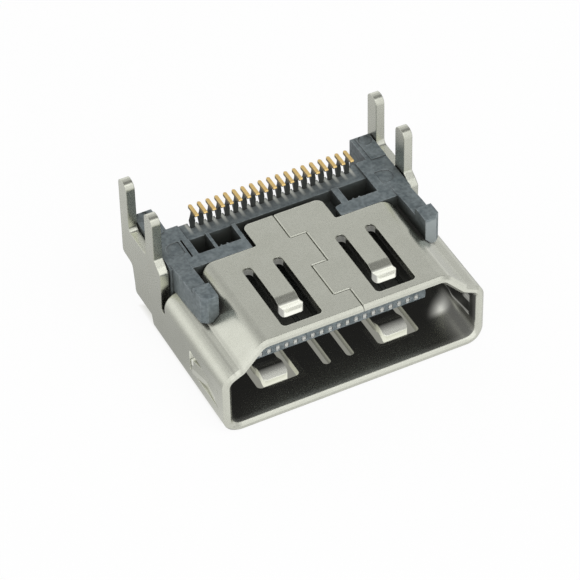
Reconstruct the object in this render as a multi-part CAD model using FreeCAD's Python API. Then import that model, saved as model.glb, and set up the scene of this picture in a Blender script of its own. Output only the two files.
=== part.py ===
import FreeCAD, Part
import math
import os

# A right-angle audio and video socket for a circuit board, with 19 surface-mount contacts.
# It lies on its wide face with its four legs up, as it would be laid on a table.
# Millimetres. X runs along the mouth, Y from the mouth at 0 to the rear, Z up to the board side.

V = FreeCAD.Vector

# Opening of the shell, as the plug needs it
opening_width = 14.0
opening_height = 4.55
straight_side = 2.93
shoulder_run = 0.81
shoulder_rise = 0.39
slope_run = 1.13
opening_half = opening_width / 2
shoulder_half = opening_half - shoulder_run
ceiling_half = shoulder_half - slope_run

# Sheet of the shell
sheet = 0.5
floor_bend = 0.5
shoulder_bend = 0.4
shoulder_root = 0.15
rim_bevel = 0.16
shell_length = 11.9
sleeve_end = 6.85
floor_end = 8.45

# Rear edge of the narrow face and its centre tab
narrow_end = 6.58
tab_half = 2.28
tab_end = 8.3
tab_round = 0.4
notch_corner = ceiling_half + 0.09
notch_half = ceiling_half + 0.84
notch_drop = 0.63

# Seam of the folded sheet, with its jogs
seam_gap = 0.03
seam_bevel = 0.06
seam_offset = 0.46
seam_jogs = (1.53, 3.96, 6.35)

# Spring fingers of the narrow face
top_slot_inner = 1.53
top_slot_outer = 3.8
top_slot_front = 0.6
top_slot_rear = 5.35
top_slot_width = 0.55
top_finger_tip = 1.65
top_finger_fall = 0.52
top_finger_dip = 0.2
top_finger_tip_dip = 0.0
slot_corner = 0.25
finger_corner = 0.2

# Spring fingers and narrow slots of the wide face
floor_slot_inner = 2.3
floor_slot_outer = 4.7
floor_slot_front = 1.8
floor_slot_rear = 5.6
floor_slot_width = 0.5
floor_finger_tip = 2.15
floor_finger_fall = 0.65
floor_finger_rise = 0.3
rib_slot_inner = 0.45
rib_slot_outer = 0.9
rib_slot_front = 1.8
rib_slot_rear = 5.0

# Side springs
lance_low = 1.5
lance_high = 2.48
lance_slot = 0.08
lance_upper_slot = 0.3
lance_front = 0.75
lance_rear = 3.95
lance_tip = 3.6
lance_contact = 2.3
lance_in = 0.14
lance_out = 0.1

# Side plates and legs
plate_low = 1.4
plate_front = 7.25
plate_slot_floor = 2.75
plate_rear_step = 10.5
plate_rear_low = 3.15
plate_top = 5.3
front_leg = 7.89
rear_leg = 10.95
leg_width = 0.93
leg_top = 8.35
leg_tip_round = 0.4
leg_root = 0.3

# Contacts
contact_count = 19
contact_pitch = 0.5
contact_width = 0.2
contact_thickness = 0.18
tip_level = 2.84
tip_flat = 0.15
tip_run = 0.5
tail_front = 9.5
tail_bend = 0.15
swell_start = 5.5
swell_level = 5.85
swell_width = 0.3
neck_level = 6.35
neck_width = 0.13
neck_front = 9.38
foot_front = 8.9
foot_tip = 9.84
foot_top = 6.77
foot_thickness = 0.16
foot_bevel = 0.06

# Moulded housing: tongue, back wall and contact bar
fit_gap = 0.03
tongue_half = 5.03
tongue_front = 1.89
tongue_low = 2.46
tongue_high = 3.5
tongue_chamfer = 0.15
back_wall = 7.0
bar_front = 8.7
bar_rear = 9.92
bar_top = 5.45
deck_top = 5.55
deck_half = opening_half - 1.8
floor_step = 1.1
comb_floor = 2.2
recess_rear = 9.8
recess_left = -4.35
recess_right = 4.92

# Pockets of the deck, and the seat of the centre tab
pocket_floor = 3.9
pocket_front = 7.45
pocket_left_rib = (-4.2, -4.03)
seat_floor = 4.7
seat_left = -2.5
seat_right = 3.1
seat_wall = 0.22
right_wall = 0.38
bar_end = 2.65
nub_places = (-3.85, -3.5, 3.8, 4.15)
nub_width = 0.1
nub_depth = 0.08
groove_inner = 5.49
groove_width = 0.1
groove_depth = 0.2
groove_front = 7.4
groove_rear = 8.82

# Arms on the shoulders of the shell, with their pads
arm_front = 3.55
arm_outer = opening_half - 0.17
arm_width = 0.9
arm_top = 5.72
arm_slope_start = 5.6
arm_tip_low = 4.5
arm_root_low = 3.9
pad_top = 6.18
pad_rear = 4.7
pad_chamfer = 0.3

# Rear end blocks, with a raised pad, an ejector mark and a dished recess in each
block_rear = 11.8
block_inner = opening_half - 1.15
plateau_inner = opening_half - 0.93
plateau_front = 9.72
plateau_rise = 0.06
mark_place = (opening_half - 0.5, 11.27)
mark_radius = 0.4
dish_inner = opening_half - 1.3
dish_outer = opening_half - 0.45
dish_front = 7.8
dish_rear = 8.8
dish_depth = 0.05

PLANES = {
    "section": lambda u, v, w: V(u, w, v),
    "side": lambda u, v, w: V(w, u, v),
    "plan": lambda u, v, w: V(u, v, w),
}


def outline(corners, plane, level):
    """A flat face from corners (u, v, radius), each radius an arc that is tangent to both sides."""
    place = PLANES[plane]
    count = len(corners)
    stops = []
    for i in range(count):
        before = V(*corners[i - 1][:2], 0)
        here = V(*corners[i][:2], 0)
        after = V(*corners[(i + 1) % count][:2], 0)
        radius = corners[i][2]
        if radius <= 0:
            stops.append([here])
            continue
        back = (before - here).normalize()
        ahead = (after - here).normalize()
        half_angle = back.getAngle(ahead) / 2
        reach = radius / math.tan(half_angle)
        inward = (back + ahead).normalize()
        middle = here + inward * (radius / math.sin(half_angle) - radius)
        stops.append([here + back * reach, middle, here + ahead * reach])
    edges = []
    for i in range(count):
        stop = [place(p.x, p.y, level) for p in stops[i]]
        following = stops[(i + 1) % count][0]
        start = place(following.x, following.y, level)
        if len(stop) == 3:
            edges.append(Part.Arc(*stop).toShape())
        if stop[-1].distanceToPoint(start) > 1e-6:
            edges.append(Part.LineSegment(stop[-1], start).toShape())
    return Part.Face(Part.Wire(edges))


def prism(corners, plane, low, high):
    """The outline's face carried from one level of its plane to another."""
    return outline(corners, plane, low).extrude(PLANES[plane](0, 0, high - low))


def box(x0, x1, y0, y1, z0, z1):
    return Part.makeBox(x1 - x0, y1 - y0, z1 - z0, V(x0, y0, z0))


def both_sides(shape):
    """A list of the shape and its mirror image across the middle of the mouth."""
    return [shape, shape.mirror(V(0, 0, 0), V(1, 0, 0))]


def grow(corners, distance):
    """Anticlockwise corners moved outwards by a distance, with their radii kept concentric."""
    grown = []
    count = len(corners)
    for i in range(count):
        u0, v0 = corners[i - 1][:2]
        u1, v1, radius = corners[i]
        u2, v2 = corners[(i + 1) % count][:2]
        first = V(u1 - u0, v1 - v0, 0).normalize()
        second = V(u2 - u1, v2 - v1, 0).normalize()
        turn = first.x * second.y - first.y * second.x
        share = distance / (1 + first.dot(second))
        u = u1 + (first.y + second.y) * share
        v = v1 - (first.x + second.x) * share
        change = distance if turn > 0 else -distance
        grown.append((u, v, max(radius + change, 0) if radius > 0 else 0))
    return grown


def band(path, thickness):
    """Corners of a bent strip of one thickness along a centre line of (u, v, inner bend radius)."""
    sides = []
    for side in (1, -1):
        edge = []
        for i, (u, v, radius) in enumerate(path):
            here = V(u, v, 0)
            before = here - V(*path[i - 1][:2], 0) if i > 0 else None
            after = V(*path[i + 1][:2], 0) - here if i < len(path) - 1 else None
            first = (before or after).normalize()
            second = (after or before).normalize()
            share = side * thickness / 2 / (1 + first.dot(second))
            turn = side * (first.x * second.y - first.y * second.x)
            bend = 0 if radius == 0 else radius if turn > 0 else radius + thickness
            edge.append((u - (first.y + second.y) * share, v + (first.x + second.x) * share, bend))
        sides.append(edge)
    return sides[0] + sides[1][::-1]


def mirrored_profile(half):
    """A closed section from its right half, given anticlockwise from the floor to the ceiling."""
    return half + [(-x, z, r) for x, z, r in half[::-1]]


def opening_profile():
    """The plug opening: wide below, with sloping shoulders up to the narrow face."""
    shoulder_start = sheet + straight_side
    return mirrored_profile([
        (opening_half, sheet, floor_bend),
        (opening_half, shoulder_start, shoulder_bend),
        (shoulder_half, shoulder_start + shoulder_rise, shoulder_root + sheet),
        (ceiling_half, sheet + opening_height, shoulder_bend),
    ])


def shell_profile(gap=0.0):
    """The outside of the folded sheet, or the space it needs with a gap around it."""
    return grow(opening_profile(), sheet + gap)


def narrow_bottom():
    return sheet + opening_height


def shell_height():
    return narrow_bottom() + sheet


def rear_notch(gap=0.0):
    """The part of the narrow face that is cut away beside the centre tab, seen from above."""
    far = shell_length
    return grow([
        (tab_half, narrow_end, 0.12),
        (notch_corner, narrow_end, 1.0),
        (notch_half, narrow_end - notch_drop, 0),
        (notch_half, far, 0),
        (tab_half, far, 0),
    ], -gap)


def slot_cutter(inner, outer, front, rear, width, bend_start):
    """A U-shaped slot around a finger that is rooted at the rear, seen from above."""
    end = width * 0.49
    return [
        (inner, front, slot_corner),
        (outer, front, slot_corner),
        (outer, rear, end),
        (outer - width, rear, end),
        (outer - width, bend_start, 0),
        (inner + width, bend_start, 0),
        (inner + width, rear, end),
        (inner, rear, end),
    ]


def finger_end(inner, outer, tip, level, bend):
    """The bent end of a finger: it leans out of its face and turns back at its tip."""
    fall, lean, tip_lean = bend
    start = tip + 2 * fall
    path = [
        (start + fall, level, 0),
        (start, level, 0.3),
        (tip + fall, level + lean, 0.2),
        (tip, level + tip_lean, 0),
    ]
    strip = prism(band(path, sheet), "side", inner, outer)
    reach = start + fall
    plan = [
        (inner, tip, finger_corner),
        (outer, tip, finger_corner),
        (outer, reach, 0),
        (inner, reach, 0),
    ]
    return strip.common(prism(plan, "plan", level - 2 * sheet, level + 2 * sheet))


def cut_fingers(shell, slot, tip, level, bend):
    """Both U slots of one face and the bent ends of their fingers."""
    inner, outer, front, rear, width = slot
    bend_start = tip + 2 * bend[0]
    corners = slot_cutter(inner, outer, front, rear, width, bend_start)
    cutter = prism(corners, "plan", level - sheet, level + sheet)
    finger = finger_end(inner + width, outer - width, tip, level, bend)
    return shell.cut(both_sides(cutter)).fuse(both_sides(finger))


def seam_groove(middle, plane, start, end):
    """A straight stretch of the seam: a gap through the sheet with both upper edges bevelled."""
    near = seam_gap / 2
    far = near + seam_bevel
    low = narrow_bottom() - sheet
    top = shell_height()
    right = [
        (middle + near, low, 0),
        (middle + near, top - seam_bevel, 0),
        (middle + far, top, 0),
        (middle + far, top + sheet, 0),
    ]
    left = [(2 * middle - u, v, r) for u, v, r in right[::-1]]
    return prism(right + left, plane, start, end)


def seam_cutters():
    """The gap of the seam, which runs back from the mouth and steps from side to side."""
    cutters = []
    stops = (-sheet,) + seam_jogs + (tab_end + sheet,)
    side = 1
    for start, end in zip(stops, stops[1:]):
        cutters.append(seam_groove(side * seam_offset, "section", start, end))
        side = -side
    reach = seam_offset + seam_gap / 2
    for jog in seam_jogs:
        cutters.append(seam_groove(jog, "side", -reach, reach))
    return cutters


def lance():
    """One side spring: it leans into the opening and turns out again at its free end."""
    middle = opening_half + sheet / 2
    path = [
        (middle, lance_front - lance_slot, 0),
        (middle, lance_front + lance_slot, 0.4),
        (middle - lance_in, lance_contact, 0.3),
        (middle + lance_out, lance_tip, 0),
    ]
    return prism(band(path, sheet), "plan", lance_low, lance_high)


def lance_window():
    corners = [
        (lance_front, lance_low - lance_slot, 0),
        (lance_rear, lance_low - lance_slot, 0.1),
        (lance_rear, lance_high + lance_upper_slot, 0.1),
        (lance_front, lance_high + lance_slot, 0),
    ]
    return prism(corners, "side", opening_half - sheet, opening_half + 2 * sheet)


def leg_tip(front):
    """Corners of one leg's rounded tip, from its rear edge to its front edge."""
    return [
        (front + leg_width, leg_top, leg_tip_round),
        (front, leg_top, leg_tip_round),
    ]


def side_plate():
    """One side plate with its two legs, as seen from the side, carried across the sheet."""
    floor_round = sheet + floor_bend
    shelf = plate_top + 0.15
    corners = [
        (sleeve_end - 1, floor_round, 0),
        (floor_end, floor_round, 0),
        (floor_end + 0.12, plate_low, 0.1),
        (plate_rear_step, plate_low, 0.2),
        (plate_rear_step + 0.05, plate_low + 0.6, 0.3),
        (plate_rear_step + 0.25, plate_rear_low, 0.3),
        (shell_length, plate_rear_low + 0.1, 0.2),
    ]
    corners += leg_tip(shell_length - leg_width)
    corners += [
        (rear_leg, plate_top, leg_root),
        (front_leg + leg_width, plate_top, leg_root),
    ]
    corners += leg_tip(front_leg)
    corners += [
        (front_leg, shelf + 0.25, 0.12),
        (plate_front + 0.25, shelf, 0.1),
        (plate_front - 0.05, plate_top - 0.1, 0.12),
        (plate_front, plate_slot_floor, 0.15),
        (sleeve_end - 1, plate_slot_floor, 0),
    ]
    return prism(corners, "side", opening_half, opening_half + sheet)


def make_shell():
    """The whole folded sheet: sleeve, windows with springs, seam, centre tab, side plates and legs."""
    outer = prism(shell_profile(), "section", 0, sleeve_end)
    shell = outer.cut(prism(opening_profile(), "section", -1, sleeve_end + 1))
    rim = [e for e in shell.Edges if max(abs(v.Point.y) for v in e.Vertexes) < 1e-6]
    shell = shell.makeChamfer(rim_bevel, rim)

    pan = prism(shell_profile(), "section", 0, floor_end)
    pan = pan.cut(prism(opening_profile(), "section", -1, floor_end + 1))
    wide = shell_height() + opening_half
    pan = pan.common(box(-wide, wide, sleeve_end - 1, floor_end, 0, sheet + floor_bend))

    slope_low = narrow_bottom() - sheet - shoulder_rise
    notch = prism(rear_notch(), "plan", slope_low, shell_height() + sheet)
    shell = shell.cut(both_sides(notch))

    tab = [
        (-tab_half, narrow_end - 1, 0),
        (tab_half, narrow_end - 1, 0),
        (tab_half, tab_end, tab_round),
        (-tab_half, tab_end, tab_round),
    ]
    pieces = [pan, prism(tab, "plan", narrow_bottom(), shell_height())] + both_sides(side_plate())
    shell = shell.fuse(pieces)

    top_slot = (top_slot_inner, top_slot_outer, top_slot_front, top_slot_rear, top_slot_width)
    top_bend = (top_finger_fall, -top_finger_dip, -top_finger_tip_dip)
    shell = cut_fingers(shell, top_slot, top_finger_tip, narrow_bottom() + sheet / 2, top_bend)
    floor_slot = (floor_slot_inner, floor_slot_outer, floor_slot_front, floor_slot_rear, floor_slot_width)
    floor_bend_out = (floor_finger_fall, floor_finger_rise, 0)
    shell = cut_fingers(shell, floor_slot, floor_finger_tip, sheet / 2, floor_bend_out)
    rib_round = (rib_slot_outer - rib_slot_inner) * 0.49
    rib_slot = [
        (rib_slot_inner, rib_slot_front, rib_round),
        (rib_slot_outer, rib_slot_front, rib_round),
        (rib_slot_outer, rib_slot_rear, rib_round),
        (rib_slot_inner, rib_slot_rear, rib_round),
    ]
    shell = shell.cut(both_sides(prism(rib_slot, "plan", -sheet, 2 * sheet)))

    shell = shell.cut(both_sides(lance_window())).fuse(both_sides(lance()))
    shell = shell.cut(seam_cutters())
    return shell.removeSplitter()


def contact_place(index):
    return (index - (contact_count + 1) / 2) * contact_pitch


def contact_path(index):
    """Centre line of one contact, from its tip in the tongue's front to its neck under the foot.

    Odd ones run under the tongue and even ones over it.
    """
    half = contact_thickness / 2
    level = tongue_low + half if index % 2 else tongue_high - half
    tail = tail_front + half
    return [
        (tongue_front, tip_level, 0),
        (tongue_front + tip_flat, tip_level, 0),
        (tongue_front + tip_run, level, 0),
        (tail - tail_bend, level, 0),
        (tail, level + tail_bend, 0),
        (tail, swell_level, 0),
        (neck_front + half, foot_top - foot_thickness / 2, 0),
    ]


def contact_outline(middle, gap):
    """One contact as seen from the front: slim, but swollen above the comb, with a narrow neck under the foot."""
    slim = contact_width / 2 + gap
    broad = swell_width / 2 + gap
    neck = neck_width / 2 + gap
    foot_low = foot_top - foot_thickness
    right = [
        (slim, 0, 0),
        (slim, swell_start, 0),
        (broad, swell_level, 0),
        (neck, neck_level, 0),
        (neck, foot_low, 0),
        (slim, foot_low, 0),
        (slim, leg_top, 0),
    ]
    return [(middle + x, z, r) for x, z, r in mirrored_profile(right)]


def contact_shape(index, gap=0.0):
    """One contact up to its neck, or the space it needs with a gap around it."""
    middle = contact_place(index)
    reach = swell_width / 2 + gap
    strip = prism(band(contact_path(index), contact_thickness + 2 * gap), "side", middle - reach, middle + reach)
    return strip.common(prism(contact_outline(middle, gap), "section", 0, shell_length))


def foot_shape(index):
    """The flat foot on the neck of one contact, folded under at its front, with its rear corners cut off."""
    middle = contact_place(index)
    low = foot_top - foot_thickness
    side = [
        (foot_tip, foot_top, 0),
        (foot_front + foot_bevel, foot_top, 0),
        (foot_front, foot_top - foot_bevel, 0),
        (foot_front + foot_bevel, low, 0),
        (foot_tip, low, 0),
    ]
    half = contact_width / 2
    plan = [
        (middle - half, foot_front, 0),
        (middle + half, foot_front, 0),
        (middle + half, foot_tip - foot_bevel, 0),
        (middle + half - foot_bevel, foot_tip, 0),
        (middle - half + foot_bevel, foot_tip, 0),
        (middle - half, foot_tip - foot_bevel, 0),
    ]
    foot = prism(side, "side", middle - half, middle + half).common(prism(plan, "plan", low, foot_top))
    web_half = neck_width / 2
    web = [
        (foot_front + foot_thickness, low, 0),
        (neck_front, neck_level, 0),
        (neck_front + contact_thickness / 2, neck_level, 0),
        (neck_front + contact_thickness / 2, low + foot_bevel, 0),
        (foot_front + foot_thickness, low + foot_bevel, 0),
    ]
    return foot.fuse(prism(web, "side", middle - web_half, middle + web_half))


def make_contact(index):
    return contact_shape(index).fuse(foot_shape(index)).removeSplitter()


def tongue():
    corners = [
        (tongue_front, tongue_low + tongue_chamfer, 0),
        (tongue_front + tongue_chamfer, tongue_low, 0),
        (back_wall + 1, tongue_low, 0),
        (back_wall + 1, tongue_high, 0),
        (tongue_front + tongue_chamfer, tongue_high, 0),
        (tongue_front, tongue_high - tongue_chamfer, 0),
    ]
    return prism(corners, "side", -tongue_half, tongue_half)


def end_block():
    """One rear end block, which fills the space beside the contact bar between the side plates."""
    side = [
        (back_wall, floor_step, 0),
        (plate_rear_step - 0.05, floor_step, 0.1),
        (plate_rear_step, plate_low + 0.6, 0),
        (plate_rear_step + 0.2, plate_rear_low + 0.1, 0.2),
        (block_rear, plate_rear_low + 0.2, 0.15),
        (block_rear, deck_top, 0.15),
        (back_wall, deck_top, 0),
    ]
    outer = opening_half - 2 * fit_gap
    block = prism(side, "side", deck_half, outer)
    plateau = box(plateau_inner, outer, plateau_front, block_rear - 0.15, deck_top - 0.1, deck_top + plateau_rise)
    behind = box(0, block_inner, bar_rear, shell_length, 0, leg_top)
    mark = Part.makeCylinder(mark_radius, plateau_rise * 2, V(*mark_place, deck_top))
    dish = [
        (dish_inner, dish_front, 0.1),
        (dish_outer, dish_front, 0.45),
        (dish_outer, dish_rear, 0.45),
        (dish_inner, dish_rear, 0.1),
    ]
    hollow = prism(dish, "plan", deck_top - dish_depth, leg_top)
    return block.fuse(plateau).cut([behind, mark, hollow])


def arm():
    """One arm on the shoulder of the shell, which rises a little to its raised pad in front."""
    root = back_wall + 0.5
    inner = arm_outer - arm_width
    plan = [
        (inner, arm_front, 0),
        (arm_outer - pad_chamfer, arm_front, 0),
        (arm_outer, arm_front + pad_chamfer, 0),
        (arm_outer, root, 0),
        (inner, root, 0),
    ]
    side = [
        (arm_front, arm_tip_low, 0),
        (root, arm_root_low, 0),
        (root, deck_top, 0),
        (arm_slope_start, arm_top, 0),
        (pad_rear, arm_top, 0),
        (pad_rear, pad_top, 0.08),
        (arm_front, pad_top, 0.08),
    ]
    return prism(plan, "plan", 0, pad_top).common(prism(side, "side", 0, arm_outer))


def pockets():
    """The pockets in the deck between the crossbar and the contact bar, and the seat of the tab."""
    high = deck_top + 1
    seat = [
        (seat_left, narrow_end - 1, 0),
        (bar_end, narrow_end - 1, 0),
        (bar_end, pocket_front - 0.1, 0.15),
        (seat_right, pocket_front, 0),
        (seat_right, bar_front, 0),
        (seat_left, bar_front, 0),
    ]
    cutters = [prism(seat, "plan", seat_floor, high)]
    spans = (
        (-deck_half + 0.05, pocket_left_rib[0]),
        (pocket_left_rib[1], seat_left - seat_wall),
        (seat_right + right_wall, deck_half),
    )
    pits = [box(x0, x1, pocket_front, bar_front, pocket_floor, high) for x0, x1 in spans]
    for x in nub_places:
        half = nub_width / 2
        nub = box(x - half, x + half, pocket_front, pocket_front + nub_depth, pocket_floor, deck_top)
        pits = [pit.cut(nub) for pit in pits]
    groove_outer = groove_inner + groove_width
    groove = box(-groove_outer, -groove_inner, groove_front, groove_rear, deck_top - groove_depth, high)
    return cutters + pits + [groove]


def comb_cutters():
    """The slots that hold the contacts' tails, and the recess along the rear edge of the contact bar."""
    front = tail_front - fit_gap
    reach = contact_width / 2 + fit_gap
    cutters = [box(recess_left, recess_right, recess_rear, shell_length, comb_floor, leg_top)]
    for index in range(1, contact_count + 1):
        middle = contact_place(index)
        cutters.append(box(middle - reach, middle + reach, front, shell_length, comb_floor, leg_top))
    return cutters


def make_housing():
    """The moulded housing in one piece: tongue, back wall, deck, contact bar, arms and end blocks."""
    inside = prism(grow(opening_profile(), -fit_gap), "section", back_wall, bar_rear)
    under = box(-shell_length, shell_length, floor_end - 0.15, shell_length, 0, floor_step)
    inside = inside.cut(under).fuse(tongue())

    low = narrow_bottom() - sheet
    deck = box(-arm_outer, arm_outer, narrow_end + fit_gap, back_wall + 0.6, low, deck_top)
    bar = box(-deck_half, deck_half, back_wall, bar_rear, low, deck_top)
    outside = deck.fuse([bar] + both_sides(arm()) + both_sides(end_block()))
    space = prism(shell_profile(fit_gap), "section", -1, sleeve_end + fit_gap)
    keep = prism(rear_notch(fit_gap), "plan", low - 1, leg_top)
    outside = outside.cut(space.cut(both_sides(keep)))

    lowered = box(-deck_half, deck_half, bar_front, shell_length, bar_top, leg_top)
    housing = inside.fuse(outside).cut([lowered] + pockets() + comb_cutters())
    spaces = [contact_shape(i, fit_gap) for i in range(1, contact_count + 1)]
    housing = housing.cut(spaces)
    return housing.removeSplitter()


def save(node, shape):
    """Write one piece, with the middle of the whole object's footprint at the origin."""
    shape.translate(V(0, -shell_length / 2, 0))
    shape.exportStep("parts/" + node + ".step")
    print(node, len(shape.Solids), round(shape.Volume, 4), shape.isValid())


os.makedirs("parts", exist_ok=True)
save("shell", make_shell())
save("housing", make_housing())
for number in range(1, contact_count + 1):
    save("contact_%02d" % number, make_contact(number))
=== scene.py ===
import math

import bpy
from mathutils import Matrix, Vector


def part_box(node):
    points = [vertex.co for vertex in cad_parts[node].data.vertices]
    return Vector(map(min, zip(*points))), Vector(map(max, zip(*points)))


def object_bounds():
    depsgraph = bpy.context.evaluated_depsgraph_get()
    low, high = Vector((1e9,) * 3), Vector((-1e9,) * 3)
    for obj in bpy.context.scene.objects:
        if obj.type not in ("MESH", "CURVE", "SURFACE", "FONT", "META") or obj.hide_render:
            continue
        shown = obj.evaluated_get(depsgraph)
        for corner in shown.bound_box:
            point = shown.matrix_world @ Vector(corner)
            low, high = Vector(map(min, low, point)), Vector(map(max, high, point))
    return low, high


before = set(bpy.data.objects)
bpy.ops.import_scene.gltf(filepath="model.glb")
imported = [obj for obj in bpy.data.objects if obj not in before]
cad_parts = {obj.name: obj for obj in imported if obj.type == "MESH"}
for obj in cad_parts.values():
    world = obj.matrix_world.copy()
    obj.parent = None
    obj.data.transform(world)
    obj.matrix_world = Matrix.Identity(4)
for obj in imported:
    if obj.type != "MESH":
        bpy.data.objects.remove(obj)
cad_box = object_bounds()

MM = 0.001

# Camera, solved from the photograph: angles in degrees, lengths in metres, the picture's width and the focal
# length in pixels and the sensor's width in millimetres. It looks at a point beside the middle of the mouth
view_azimuth = -26.148
view_elevation = 43.170
view_roll = -1.321
view_distance = 0.16497
view_right = -0.003408
view_up = 0.005028
picture_width = 580
focal_pixels = 3213.7
sensor_width = 36.0
clip_near = 0.01
clip_far = 10.0
mouth_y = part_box("shell")[0].y

# Lamps, in metres and watts. Both face the middle of the part
overhead_place = (0.02, -0.20, 0.40)
overhead_size = (0.2, 0.16)
overhead_power = 0.12
fill_place = (0.05, -0.36, 0.26)
fill_size = (0.7, 0.5)
fill_power = 1.5

# Sky: grey by height from straight down to straight up, a bright wall in front and a dimmer right side
sky_stops = [(0.0, 0.6), (0.5, 1.0), (0.7, 1.0), (0.842, 0.61), (0.94, 0.3), (1.0, 0.15)]
sky_strength = 1.0
front_sky = 1.0
front_rise = [(0.0, 0.0), (0.55, 0.0), (0.75, 1.0), (1.0, 1.0)]
side_sky = 0.6
side_rise = [(0.0, 0.0), (0.7, 0.0), (0.85, 1.0), (1.0, 1.0)]

# From here on, names that end in _fade are pairs: an effect is 0 at the first number and full at the second.
# Names that end in _span are ranges with the full effect, and _edges say how far it fades below and above.

# Ground, in metres: its size and how far it lies below the part
ground_size = 3.0
ground_drop = 0.02 * MM

# Ground's brightness: the white that takes shadow, the share of plain white beside the part, the grey of
# painted shade under the part, and what reflections show near the part (painted shade), far from it and in
# front of it
ground_white = 0.93
ground_glow = 0.93
under_part_shade = 0.26
under_tint = (1.0, 1.0, 0.88)
beside_tint = (1.0, 1.0, 1.0)
reflected_near = 0.46
reflected_far = 0.84
reflected_front = 0.88

# Places on the ground, in millimetres from the middle of the part
reach_fade = (9.0, 26.0)
front_fade = (0.0, -8.0)
beside_x_fade = (6.3, 7.3)
beside_y_fade = (4.0, 5.0)

# On the part, x is counted from its middle, y from the mouth to the rear and z up from the ground, all in
# millimetres. Inside of the shell, where shade is painted: its walls, its upright sides and its right inner
# bend
inside_x_fade = (7.05, 7.01)
inside_z_span = (0.45, 5.1)
inside_z_edges = (0.04, 0.2)
upright_x_fade = (6.6, 6.8)
upright_z_span = (1.6, 3.35)
upright_z_edges = (0.4, 0.1)
bend_x_fade = (5.6, 6.8)
bend_z_fade = (1.1, 0.9)
bend_share = 0.4

# Parts of the shell inside it that are kept free of the painted shade: bent spring ends and the walls around
# the side springs
finger_x_span = (2.03, 4.22)
finger_x_edges = (0.03, 0.03)
finger_y_span = (1.6, 3.0)
finger_y_edges = (0.03, 0.3)
window_x_fade = (7.1, 7.15)
window_y_fade = (4.1, 4.0)
window_z_fade = (1.2, 1.3)

# Painted light, a glow that stands in for light coming in at the right side window: a round spot with a cut
# front, and a strip along the bend
spot_place = (6.4, 2.65, 0.5)
spot_size = (1.7, 0.75, 1.0)
spot_turn = 50
spot_fade = (0.0, 0.85)
spot_y_fade = (2.15, 2.55)
spot_light = 0.5
strip_x_fade = (5.2, 6.4)
strip_y_fade = (3.2, 2.2)
strip_z_fade = (1.1, 0.8)
strip_light = 0.09
glow_colour = (1.0, 1.0, 0.93)

# Painted light, a glow on all the walls of the opening, deep inside and at the rim
rim_y_fade = (0.5, 0.12)
deep_light = 0.012
rim_light = 0.07

# Small places with painted glints, a glow that stands in for light they catch, each with its twin across the
# middle: spans along x, y and z, how far the light fades to the rear, and its strength
glints = [
    # bent ends of the narrow face's springs
    ((2.08, 3.25), (1.6, 2.15), (4.9, 5.7), 0.15, 0.42),
    # bent ends of the wide face's springs
    ((2.8, 4.2), (2.1, 2.35), (0.0, 0.9), 0.5, 0.36),
    # lower and upper slit of the side springs, from inside
    ((6.8, 7.2), (0.8, 2.3), (1.42, 1.62), 0.7, 0.17),
    ((6.9, 7.2), (0.75, 1.2), (2.35, 2.8), 0.2, 0.2),
    # raised end and lower half of the side springs, from outside
    ((7.2, 7.7), (3.4, 3.95), (2.15, 2.65), 0.05, 0.3),
    ((7.3, 7.7), (1.1, 3.5), (1.45, 1.85), 0.1, 0.1),
    # rear ends of the slots in the narrow face
    ((1.5, 3.85), (5.1, 5.4), (4.95, 5.42), 0.01, 0.14),
]
glint_edge = 0.02
glint_z_edges = (0.04, 0.04)

# Painted light in the slits around the side springs, on faces that look forwards or back, up or down
slit_glint = ((7.0, 7.6), (0.6, 4.0), (1.2, 2.9), 0.1, 0.05)
slit_facing_fade = (0.8, 0.6)

# Fold lines along the left shoulder, darkened by painted shade: distance from the middle, half width and
# depth of shade
crease_lines = [(6.80, 0.10, 0.32), (6.43, 0.14, 0.30)]
crease_y_fade = (3.9, 3.7)
crease_z_fade = (3.9, 4.0)

# Shell metal: noise scales per metre, lengths in metres
shell_mottle_scale = 900.0
shell_grain_scale = 14000.0
shell_plate = [(0.3, (0.70, 0.71, 0.62)), (0.7, (0.74, 0.75, 0.66))]
shell_speckle = [(0.35, (0.88, 0.88, 0.88)), (0.65, (1.0, 1.0, 1.0))]
shell_roughness = (0.25, 0.31)
shell_reach = 1.2 * MM
shell_open_fade = (0.15, 0.6)
# Painted shade: near other parts, on the fold lines, deep inside the opening and darker on its upright sides
shell_shade = (0.12, 0.12, 0.11)
crease_shade = (0.2, 0.2, 0.18)
deep_reach = 6.0 * MM
deep_closed_fade = (0.7, 0.3)
deep_shade = (0.10, 0.10, 0.09)
upright_shade = (0.035, 0.036, 0.031)
shell_relief = (0.1, 0.01 * MM)
shell_rounding = 0.07 * MM

# Contacts, in millimetres: their row, and the pale streaks of painted light between them on the contact bar
contact_pitch = 0.5
row_x_fade = (4.9, 4.8)
streak_wave_fade = (0.0, -0.9)
streak_y_fade = (8.95, 9.55)
streak_z_fade = (5.3, 5.4)

# Pale ends of the contacts on the front of the tongue
nose_width = 0.17
nose_softness = 0.15
nose_y_fade = (1.95, 1.93)
nose_z_span = (2.70, 2.98)
nose_z_edges = (0.04, 0.04)

# Plastic inside the shell below the tongue's top, painted dark for the shade it lies in
dark_y_span = (2.0, 7.05)
dark_y_edges = (0.05, 0.05)
dark_z_fade = (3.6, 3.55)

# Front of the right arm's pad, painted lighter for the light that falls on it
pad_x_fade = (5.3, 5.5)
pad_y_fade = (3.62, 3.57)
pad_z_fade = (6.12, 6.02)
pad_share = 0.75

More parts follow.
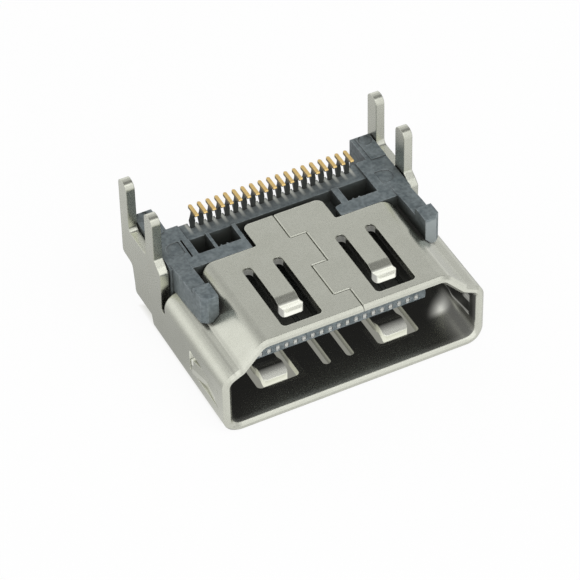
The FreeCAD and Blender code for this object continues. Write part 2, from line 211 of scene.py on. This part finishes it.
# Moulded plastic: noise scales per metre, lengths in metres
plastic_speckle_scale = 5000.0
plastic_cloud_scale = 1500.0
plastic_speckle = [(0.4, (0.072, 0.094, 0.104)), (0.6, (0.184, 0.218, 0.23))]
plastic_cloud = [(0.35, (0.078, 0.1, 0.108)), (0.65, (0.185, 0.212, 0.216))]
plastic_cloud_share = 0.5
plastic_roughness = (0.42, 0.58)
plastic_reach = 2.0 * MM
plastic_open_fade = (0.3, 0.9)
plastic_shade = (0.035, 0.038, 0.034)
# Painted highlights: pale, patchy colour along the plastic's sharp edges
highlight_turn_fade = (0.985, 0.9)
highlight_cloud_fade = (0.35, 0.6)
highlight_shares = (0.25, 0.9)
edge_highlight_colour = (0.38, 0.42, 0.44)
inside_plastic_shade = (0.045, 0.047, 0.042)
lit_pad_colour = (0.29, 0.32, 0.325)
nose_colour = (0.48, 0.49, 0.47)
streak_colour = (0.42, 0.43, 0.39)
plastic_relief = (0.25, 0.01 * MM)
plastic_rounding = 0.05 * MM

# Contact metal: gold on the upward faces of the feet, pale tips in the tongue, and between them stems and
# the feet's other faces painted dark as shade and as a painted reflection of the dark plastic
contact_stain_scale = 4000.0
contact_grain_scale = 20000.0
contact_grain_detail = 2.0
contact_metallic = 0.6
contact_gold = [(0.3, (0.77, 0.53, 0.20)), (0.7, (0.85, 0.63, 0.26))]
stem_shade = (0.07, 0.075, 0.07)
contact_tip = (0.62, 0.63, 0.60)
contact_roughness = (0.38, 0.5)
foot_z_fade = (6.5, 6.6)
foot_facing_fade = (0.1, 0.5)
foot_side_share = 0.25
tip_y_fade = (2.5, 2.3)
contact_relief = (0.1, 0.005 * MM)
contact_rounding = 0.03 * MM

# Noise textures, and the number of rays for shade and for rounded edges
noise_detail = 3.0
noise_roughness = 0.55
noise_fade = (0.3, 0.7)
shade_samples = 8
rounding_samples = 6


def view_axes():
    """The camera's right, up and back directions."""
    azimuth, elevation, roll = (math.radians(a) for a in (view_azimuth, view_elevation, view_roll))
    back = Vector((
        math.sin(azimuth) * math.cos(elevation),
        -math.cos(azimuth) * math.cos(elevation),
        math.sin(elevation),
    ))
    right = Vector((math.cos(azimuth), math.sin(azimuth), 0.0))
    up = back.cross(right)
    turned_right = right * math.cos(roll) + up * math.sin(roll)
    turned_up = up * math.cos(roll) - right * math.sin(roll)
    return turned_right, turned_up, back


def add_camera():
    right, up, back = view_axes()
    data = bpy.data.cameras.new("camera")
    data.sensor_width = sensor_width
    data.lens = focal_pixels / picture_width * sensor_width
    data.clip_start = clip_near
    data.clip_end = clip_far
    camera = bpy.data.objects.new("camera", data)
    place = right * view_right + up * view_up + back * view_distance + Vector((0, mouth_y, 0))
    camera.matrix_world = Matrix.Translation(place) @ Matrix((right, up, back)).transposed().to_4x4()
    bpy.context.scene.collection.objects.link(camera)
    bpy.context.scene.camera = camera


class Nodes:
    """A short way to add shader nodes. A value is a number, a colour or a (node, output) pair."""

    def __init__(self, tree):
        self.tree = tree

    def add(self, kind, **settings):
        """A node with some of its settings or input sockets given by name."""
        node = self.tree.nodes.new("ShaderNode" + kind)
        for key, value in settings.items():
            if hasattr(node, key):
                setattr(node, key, value)
            else:
                node.inputs[key.replace("_", " ")].default_value = value
        return node

    def put(self, value, socket):
        """Sets a value on an input socket, or links it there."""
        if isinstance(value, float):
            socket.default_value = value
        elif isinstance(value[0], float):
            socket.default_value = (*value, 1.0)
        else:
            self.tree.links.new(value[0].outputs[value[1]], socket)


class Surface(Nodes):
    """The nodes of one material, with places in millimetres and y counted from start_y."""

    def __init__(self, name, start_y):
        self.material = bpy.data.materials.new(name)
        self.material.use_nodes = True
        super().__init__(self.material.node_tree)
        self.tree.nodes.clear()
        self.where = self.add("TexCoord"), "Object"
        scaled = self.add("Mapping", Location=(0.0, -start_y / MM, 0.0), Scale=(1 / MM, 1 / MM, 1 / MM))
        self.put(self.where, scaled.inputs["Vector"])
        self.place = scaled, "Vector"
        self.x, self.y, self.z = split_vector(self, self.place)
        self.off_middle = calculated(self, "ABSOLUTE", self.x)

    def show(self, shader):
        """Links the shader to the material's output and returns the material."""
        out = self.add("OutputMaterial")
        self.tree.links.new(shader.outputs[0], out.inputs["Surface"])
        return self.material


def split_vector(nodes, vector):
    node = nodes.add("SeparateXYZ")
    nodes.put(vector, node.inputs["Vector"])
    return (node, "X"), (node, "Y"), (node, "Z")


def face_normal(nodes):
    """The three parts of the direction that a face looks in."""
    return split_vector(nodes, (nodes.add("NewGeometry"), "Normal"))


def calculated(nodes, operation, first, second=0.0):
    """The result of one operation on one or two values."""
    node = nodes.add("Math", operation=operation)
    nodes.put(first, node.inputs[0])
    nodes.put(second, node.inputs[1])
    return node, "Value"


def product(nodes, first, *others):
    for value in others:
        first = calculated(nodes, "MULTIPLY", first, value)
    return first


def total(nodes, first, *others):
    for value in others:
        first = calculated(nodes, "ADD", first, value)
    return first


def faded(nodes, value, fade, low=0.0, high=1.0):
    """Low up to the fade's first number, high from its second on, and a straight rise or fall between."""
    start, end = fade
    node = nodes.add("MapRange", From_Min=start, From_Max=end, To_Min=low, To_Max=high)
    nodes.put(value, node.inputs["Value"])
    return node, "Result"


def spanned(nodes, value, span, edges):
    """1 where a value is in a span, falling to 0 over the edges below and above it."""
    low, high = span
    below, above = edges
    rise = faded(nodes, value, (low - below, low))
    fall = faded(nodes, value, (high + above, high))
    return product(nodes, rise, fall)


def blend(nodes, factor, first, second, kind="MIX"):
    """The first colour where the factor is 0 and the second, or both multiplied, where it is 1."""
    node = nodes.add("Mix", data_type="RGBA", blend_type=kind)
    nodes.put(factor, node.inputs["Factor"])
    colours = [socket for socket in node.inputs if socket.type == "RGBA"]
    for value, socket in zip((first, second), colours):
        nodes.put(value, socket)
    result = [i for i, socket in enumerate(node.outputs) if socket.type == "RGBA"][0]
    return node, result


def ramp(nodes, value, stops):
    """A colour ramp of (position, colour) stops over a value."""
    node = nodes.add("ValToRGB")
    elements = node.color_ramp.elements
    middle = 0.5
    while len(elements) < len(stops):
        elements.new(middle)
    for element, (position, colour) in zip(elements, stops):
        element.position = position
        element.color = (*colour, 1.0)
    nodes.put(value, node.inputs["Fac"])
    return node, "Color"


def noise(nodes, scale, detail=noise_detail):
    node = nodes.add("TexNoise", Scale=scale, Detail=detail, Roughness=noise_roughness)
    nodes.put(nodes.where, node.inputs["Vector"])
    return node, "Fac"


def openness(nodes, reach, fade):
    """How far a point is open to the light: less where other surfaces within reach close it in."""
    node = nodes.add("AmbientOcclusion", samples=shade_samples, Distance=reach)
    return faded(nodes, (node, "AO"), fade)


def rounded(nodes, radius):
    """Normals rounded over sharp edges."""
    return nodes.add("Bevel", samples=rounding_samples, Radius=radius), "Normal"


def satin(nodes, metallic, colour, roughness, grain, relief, rounding):
    """A shader with fine grain and rounded edges. The relief is its strength and its depth in metres."""
    strength, depth = relief
    bump = nodes.add("Bump", Strength=strength, Distance=depth)
    nodes.put(grain, bump.inputs["Height"])
    nodes.put(rounded(nodes, rounding), bump.inputs["Normal"])
    shader = nodes.add("BsdfPrincipled", Metallic=metallic)
    nodes.put(colour, shader.inputs["Base Color"])
    nodes.put(roughness, shader.inputs["Roughness"])
    nodes.put((bump, "Normal"), shader.inputs["Normal"])
    return shader


def inside_walls(nodes):
    """1 on the walls of the opening and 0 on the outside of the shell."""
    within = faded(nodes, nodes.off_middle, inside_x_fade)
    return product(nodes, within, spanned(nodes, nodes.z, inside_z_span, inside_z_edges))


def upright_sides(nodes):
    """1 on the upright inner sides of the opening, painted darker as a painted reflection of its dark
    inside.
    """
    aside = faded(nodes, nodes.off_middle, upright_x_fade)
    return product(nodes, aside, spanned(nodes, nodes.z, upright_z_span, upright_z_edges))


def shade_free_parts(nodes):
    """1 on the bent ends of the springs and around the side springs, which are kept free of the painted
    shade, and 0 elsewhere.
    """
    across = spanned(nodes, nodes.off_middle, finger_x_span, finger_x_edges)
    fingers = product(nodes, across, spanned(nodes, nodes.y, finger_y_span, finger_y_edges))
    aside = faded(nodes, nodes.off_middle, window_x_fade)
    ahead = faded(nodes, nodes.y, window_y_fade)
    windows = product(nodes, aside, ahead, faded(nodes, nodes.z, window_z_fade))
    return calculated(nodes, "MAXIMUM", fingers, windows)


def inside_shade(nodes, upright, light):
    """How much painted shade darkens the inside of the shell: 1 deep inside, less along the right inner
    bend, 0 outside.
    """
    closed = calculated(nodes, "MAXIMUM", openness(nodes, deep_reach, deep_closed_fade), upright)
    bend = faded(nodes, nodes.x, bend_x_fade, 0.0, bend_share)
    bend = product(nodes, bend, faded(nodes, nodes.z, bend_z_fade))
    off_bend = calculated(nodes, "SUBTRACT", 1.0, bend)
    unlit = calculated(nodes, "SUBTRACT", 1.0, light)
    return product(nodes, inside_walls(nodes), closed, off_bend, unlit)


def creases(nodes):
    """How much painted shade darkens the fold lines along the left shoulder: 0 to 1."""
    lines = []
    for place, width, depth in crease_lines:
        off_line = calculated(nodes, "ABSOLUTE", total(nodes, nodes.x, place))
        lines.append(faded(nodes, off_line, (width, 0.0), 0.0, depth))
    ahead = faded(nodes, nodes.y, crease_y_fade)
    return product(nodes, total(nodes, *lines), ahead, faded(nodes, nodes.z, crease_z_fade))


def glint(nodes, x_span, y_span, z_span, fade, light):
    """Painted light, a glow on a small place of the shell and on its twin across the middle, fading out to
    the rear.
    """
    across = spanned(nodes, nodes.off_middle, x_span, (glint_edge, glint_edge))
    back = spanned(nodes, nodes.y, y_span, (glint_edge, fade))
    return product(nodes, across, back, spanned(nodes, nodes.z, z_span, glint_z_edges), light)


def slit_light(nodes):
    """Painted light in the slits around the side springs, on the cut edges of the sheet."""
    sideways = calculated(nodes, "ABSOLUTE", face_normal(nodes)[0])
    return product(nodes, faded(nodes, sideways, slit_facing_fade), glint(nodes, *slit_glint))


def painted_window_spot(nodes):
    """A round spot of painted light, a glow on the right inner bend, cut off at the front."""
    ball = nodes.add("Mapping", vector_type="TEXTURE", Location=spot_place, Scale=spot_size)
    ball.inputs["Rotation"].default_value = (0.0, 0.0, math.radians(spot_turn))
    nodes.put(nodes.place, ball.inputs["Vector"])
    gradient = nodes.add("TexGradient", gradient_type="SPHERICAL")
    nodes.put((ball, "Vector"), gradient.inputs["Vector"])
    near = (gradient, "Fac")
    light = faded(nodes, near, spot_fade, 0.0, spot_light)
    return product(nodes, light, near, faded(nodes, nodes.y, spot_y_fade))


def painted_daylight(nodes):
    """Painted light, a glow on the walls of the opening that stands in for light from the right side window
    and from the mouth.
    """
    right = faded(nodes, nodes.x, strip_x_fade)
    low = faded(nodes, nodes.z, strip_z_fade, 0.0, strip_light)
    strip = product(nodes, right, right, low, faded(nodes, nodes.y, strip_y_fade))
    rest = faded(nodes, nodes.y, rim_y_fade, deep_light, rim_light)
    return product(nodes, total(nodes, painted_window_spot(nodes), strip, rest), inside_walls(nodes))


def shell_metal():
    """Satin nickel plate on rolled sheet: fine grain, faint mottling and softly rounded cut edges, with
    painted shade and painted glows.
    """
    nodes = Surface("shell_metal", mouth_y)
    grain = noise(nodes, shell_grain_scale)
    plate = ramp(nodes, noise(nodes, shell_mottle_scale), shell_plate)
    plate = blend(nodes, 1.0, plate, ramp(nodes, grain, shell_speckle), "MULTIPLY")

    light = shade_free_parts(nodes)
    upright = upright_sides(nodes)
    # Painted shade near other parts, on the fold lines and inside the opening, except on the parts kept free
    # of it
    free = calculated(nodes, "MAXIMUM", openness(nodes, shell_reach, shell_open_fade), light)
    colour = blend(nodes, free, shell_shade, plate)
    colour = blend(nodes, creases(nodes), colour, crease_shade)
    depths = blend(nodes, upright, deep_shade, upright_shade)
    colour = blend(nodes, inside_shade(nodes, upright, light), colour, depths)

    rough = faded(nodes, grain, noise_fade, *shell_roughness)
    shader = satin(nodes, 1.0, colour, rough, grain, shell_relief, shell_rounding)
    # Painted light: glows inside the opening and painted glints on small places
    nodes.put(glow_colour, shader.inputs["Emission Color"])
    small = [glint(nodes, *place) for place in glints]
    nodes.put(total(nodes, painted_daylight(nodes), slit_light(nodes), *small), shader.inputs["Emission Strength"])
    return nodes.show(shader)


def contact_wave(nodes):
    """A wave along the row of contacts: 1 on each contact and -1 halfway to the next."""
    return calculated(nodes, "COSINE", product(nodes, nodes.x, 2 * math.pi / contact_pitch))


def light_streaks(nodes):
    """Pale streaks of painted light and reflection on the contact bar between the contacts, strongest on the
    teeth: 0 to 1.
    """
    gaps = faded(nodes, contact_wave(nodes), streak_wave_fade)
    row = faded(nodes, nodes.off_middle, row_x_fade)
    back = faded(nodes, nodes.y, streak_y_fade)
    return product(nodes, gaps, row, back, faded(nodes, nodes.z, streak_z_fade))


def contact_noses(nodes):
    """Pale ends of the contacts on the front of the tongue: 0 to 1."""
    edge = math.cos(math.pi * nose_width / contact_pitch)
    on_contact = faded(nodes, contact_wave(nodes), (edge - nose_softness, edge + nose_softness))
    row = faded(nodes, nodes.off_middle, row_x_fade)
    height = spanned(nodes, nodes.z, nose_z_span, nose_z_edges)
    return product(nodes, on_contact, row, height, faded(nodes, nodes.y, nose_y_fade))


def edge_highlights(nodes):
    """1 along sharp edges, which get a pale painted highlight, and 0 on flat faces."""
    turn = nodes.add("VectorMath", operation="DOT_PRODUCT")
    nodes.put(rounded(nodes, plastic_rounding), turn.inputs[0])
    nodes.put((nodes.add("NewGeometry"), "Normal"), turn.inputs[1])
    return faded(nodes, (turn, "Value"), highlight_turn_fade)


def shaded_inside_plastic(nodes):
    """1 on the plastic inside the shell, painted dark for the shade it lies in."""
    below = faded(nodes, nodes.z, dark_z_fade)
    return product(nodes, below, spanned(nodes, nodes.y, dark_y_span, dark_y_edges))


def lit_pad_front(nodes):
    """The share of painted light on the front of the right arm's pad."""
    right = faded(nodes, nodes.x, pad_x_fade)
    ahead = faded(nodes, nodes.y, pad_y_fade, 0.0, pad_share)
    return product(nodes, right, ahead, faded(nodes, nodes.z, pad_z_fade))


def moulded_plastic():
    """Blue-grey glass-filled plastic with a mottled grain, pale painted highlights on its edges, and painted
    shade and light.
    """
    nodes = Surface("moulded_plastic", mouth_y)
    speckle = noise(nodes, plastic_speckle_scale)
    cloud = noise(nodes, plastic_cloud_scale)
    fine = ramp(nodes, speckle, plastic_speckle)
    colour = blend(nodes, plastic_cloud_share, fine, ramp(nodes, cloud, plastic_cloud))
    # Painted highlights along sharp edges, patchy by the cloud noise
    highlighted = product(nodes, edge_highlights(nodes), faded(nodes, cloud, highlight_cloud_fade, *highlight_shares))
    colour = blend(nodes, highlighted, colour, edge_highlight_colour)
    # Painted shade in hollows and corners of the plastic
    colour = blend(nodes, openness(nodes, plastic_reach, plastic_open_fade), plastic_shade, colour)
    # Painted shade on the plastic inside the shell
    colour = blend(nodes, shaded_inside_plastic(nodes), colour, inside_plastic_shade)
    # Painted light on the front of the right arm's pad
    colour = blend(nodes, lit_pad_front(nodes), colour, lit_pad_colour)
    colour = blend(nodes, contact_noses(nodes), colour, nose_colour)
    # Painted light and reflection in streaks between the contacts on the contact bar
    colour = blend(nodes, light_streaks(nodes), colour, streak_colour)
    rough = faded(nodes, cloud, noise_fade, *plastic_roughness)
    return nodes.show(satin(nodes, 0.0, colour, rough, speckle, plastic_relief, plastic_rounding))


def contact_metal():
    """Contacts with satin gold feet, pale tips, and stems painted dark as shade and as a reflection of the
    dark plastic.
    """
    nodes = Surface("contact_metal", mouth_y)
    grain = noise(nodes, contact_grain_scale, contact_grain_detail)
    gold = ramp(nodes, noise(nodes, contact_stain_scale), contact_gold)
    # Painted shade: the feet's faces that don't look up and the stems take the dark colour
    upward = faded(nodes, face_normal(nodes)[2], foot_facing_fade, foot_side_share, 1.0)
    on_foot = product(nodes, faded(nodes, nodes.z, foot_z_fade), upward)
    bare = blend(nodes, faded(nodes, nodes.y, tip_y_fade), stem_shade, contact_tip)
    colour = blend(nodes, on_foot, bare, gold)
    rough = faded(nodes, grain, noise_fade, *contact_roughness)
    return nodes.show(satin(nodes, contact_metallic, colour, rough, grain, contact_relief, contact_rounding))


def mirrored_ground(nodes):
    """What reflections see of the ground, with painted shade near the part, where it keeps light off, though
    less in front of it.
    """
    length = nodes.add("VectorMath", operation="LENGTH")
    nodes.put(nodes.place, length.inputs[0])
    by_distance = faded(nodes, (length, "Value"), reach_fade, reflected_near, reflected_far)
    in_front = faded(nodes, nodes.y, front_fade, reflected_near, reflected_front)
    return calculated(nodes, "MAXIMUM", by_distance, in_front)


def ground_material():
    """White ground: plain white to the camera with a share that takes shadow, and painted shade under the
    part.
    """
    nodes = Surface("ground_white", 0.0)
    aside = faded(nodes, nodes.off_middle, beside_x_fade)
    ahead = faded(nodes, calculated(nodes, "ABSOLUTE", nodes.y), beside_y_fade)
    beside = calculated(nodes, "MAXIMUM", aside, ahead)

    path = nodes.add("LightPath")
    camera_ray = (path, "Is Camera Ray")
    glossy_ray = (path, "Is Glossy Ray")
    seen = product(nodes, faded(nodes, beside, (0.0, 1.0), 1.0, ground_glow), camera_ray)
    share = calculated(nodes, "MAXIMUM", seen, glossy_ray)
    plain = product(nodes, faded(nodes, beside, (0.0, 1.0), under_part_shade, 1.0), camera_ray)
    strength = total(nodes, plain, product(nodes, mirrored_ground(nodes), glossy_ray))

    diffuse = nodes.add("BsdfDiffuse", Color=(ground_white, ground_white, ground_white, 1.0))
    glow = nodes.add("Emission")
    nodes.put(blend(nodes, beside, under_tint, beside_tint), glow.inputs["Color"])
    nodes.put(strength, glow.inputs["Strength"])
    mix = nodes.add("MixShader")
    nodes.put(share, mix.inputs["Fac"])
    nodes.put((diffuse, "BSDF"), mix.inputs[1])
    nodes.put((glow, "Emission"), mix.inputs[2])
    return nodes.show(mix)


def add_ground():
    mesh = bpy.data.meshes.new("ground")
    half = ground_size / 2
    corners = [(-half, -half, 0), (half, -half, 0), (half, half, 0), (-half, half, 0)]
    mesh.from_pydata(corners, [], [(0, 1, 2, 3)])
    ground = bpy.data.objects.new("ground", mesh)
    ground.location.z = cad_box[0][2] - ground_drop
    mesh.materials.append(ground_material())
    bpy.context.scene.collection.objects.link(ground)


def add_lamp(name, place, size, power):
    """A rectangular soft box at a place, facing the middle of the part."""
    data = bpy.data.lights.new(name, "AREA")
    data.shape = "RECTANGLE"
    data.size, data.size_y = size
    data.energy = power
    lamp = bpy.data.objects.new(name, data)
    lamp.location = place
    lamp.rotation_euler = (-Vector(place)).to_track_quat("-Z", "Y").to_euler()
    bpy.context.scene.collection.objects.link(lamp)
    return lamp


def greys(stops):
    """Colour stops from (position, grey) stops."""
    return [(position, (grey, grey, grey)) for position, grey in stops]


def add_sky():
    """A studio sky: bright at the horizon, darker overhead, with a bright wall in front of the part."""
    world = bpy.data.worlds.new("world")
    world.use_nodes = True
    nodes = Nodes(world.node_tree)
    aside, back, up = split_vector(nodes, (nodes.add("TexCoord"), "Generated"))
    height = ramp(nodes, faded(nodes, up, (-1.0, 1.0)), greys(sky_stops))
    wall = ramp(nodes, faded(nodes, back, (1.0, -1.0)), greys(front_rise))
    right = ramp(nodes, faded(nodes, aside, (-1.0, 1.0)), greys(side_rise))
    colour = blend(nodes, wall, height, (front_sky, front_sky, front_sky))
    colour = blend(nodes, right, colour, (side_sky, side_sky, side_sky), "MULTIPLY")
    background = world.node_tree.nodes["Background"]
    nodes.put(colour, background.inputs["Color"])
    nodes.put(sky_strength, background.inputs["Strength"])
    bpy.context.scene.world = world


def add_light():
    """The sky and two lamps. Reflections don't show the fill lamp, so that the metal stays below white."""
    add_sky()
    add_lamp("overhead", overhead_place, overhead_size, overhead_power)
    fill = add_lamp("fill", fill_place, fill_size, fill_power)
    fill.visible_glossy = False


def dress(material, names):
    for name in names:
        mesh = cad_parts[name].data
        mesh.materials.clear()
        mesh.materials.append(material)


contacts = [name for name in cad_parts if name.startswith("contact_")]
add_camera()
dress(shell_metal(), ["shell"])
dress(moulded_plastic(), ["housing"])
dress(contact_metal(), contacts)
for name in contacts:
    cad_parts[name].visible_glossy = False
add_ground()
add_light()

bpy.context.scene.view_settings.view_transform = "Standard"
